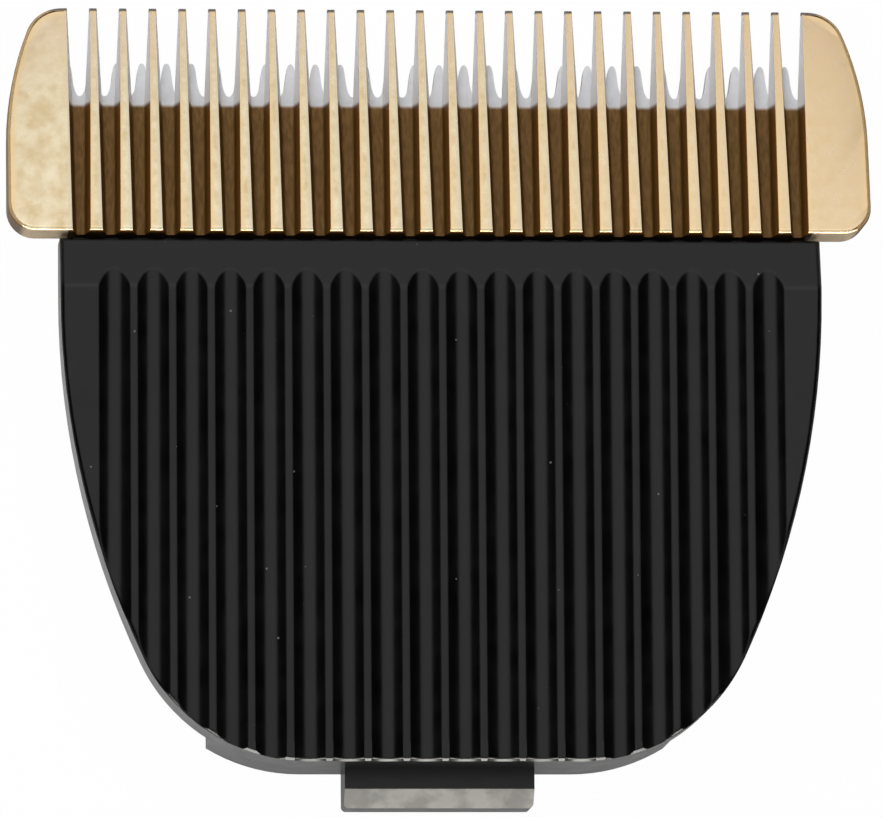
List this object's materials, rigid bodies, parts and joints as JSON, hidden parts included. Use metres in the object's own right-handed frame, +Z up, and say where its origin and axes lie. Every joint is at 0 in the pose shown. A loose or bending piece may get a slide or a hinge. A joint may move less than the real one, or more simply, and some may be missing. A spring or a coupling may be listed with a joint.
{
  "type": "hair clipper blade",
  "caption": "Clip-on hair clipper blade set: gold-coated toothed fixed blade over a sliding ceramic cutter, on a black fluted plastic base with a rear mounting hook.",
  "frame": {"origin": "under the middle of the whole set, on the surface that it rests on", "axes": "+X along the row of teeth, +Y from the rear hook to the tooth tips, +Z up out of the fluted face"},
  "size_m": [0.0462, 0.043, 0.0077],
  "materials": {
    "black_plastic": "fine moulded satin",
    "gold_coated_steel": "ground, pale gold coating",
    "ceramic": "ground matt",
    "slider_plastic": "moulded satin",
    "spring_steel": "drawn wire",
    "screw_steel": "zinc plated"
  },
  "bodies": {
    "base": {"blade_base": "black_plastic", "fixed_blade": "gold_coated_steel", "spring_left": "spring_steel", "spring_right": "spring_steel", "blade_screws": "screw_steel"},
    "cutter": {"cutter_blade": "ceramic", "cutter_carrier": "slider_plastic"}
  },
  "joints": [
    {"name": "cutter_slide", "type": "slide", "parent": "base", "child": "cutter", "axis": [1, 0, 0], "range_m": [-0.0015, 0.0011]}
  ]
}
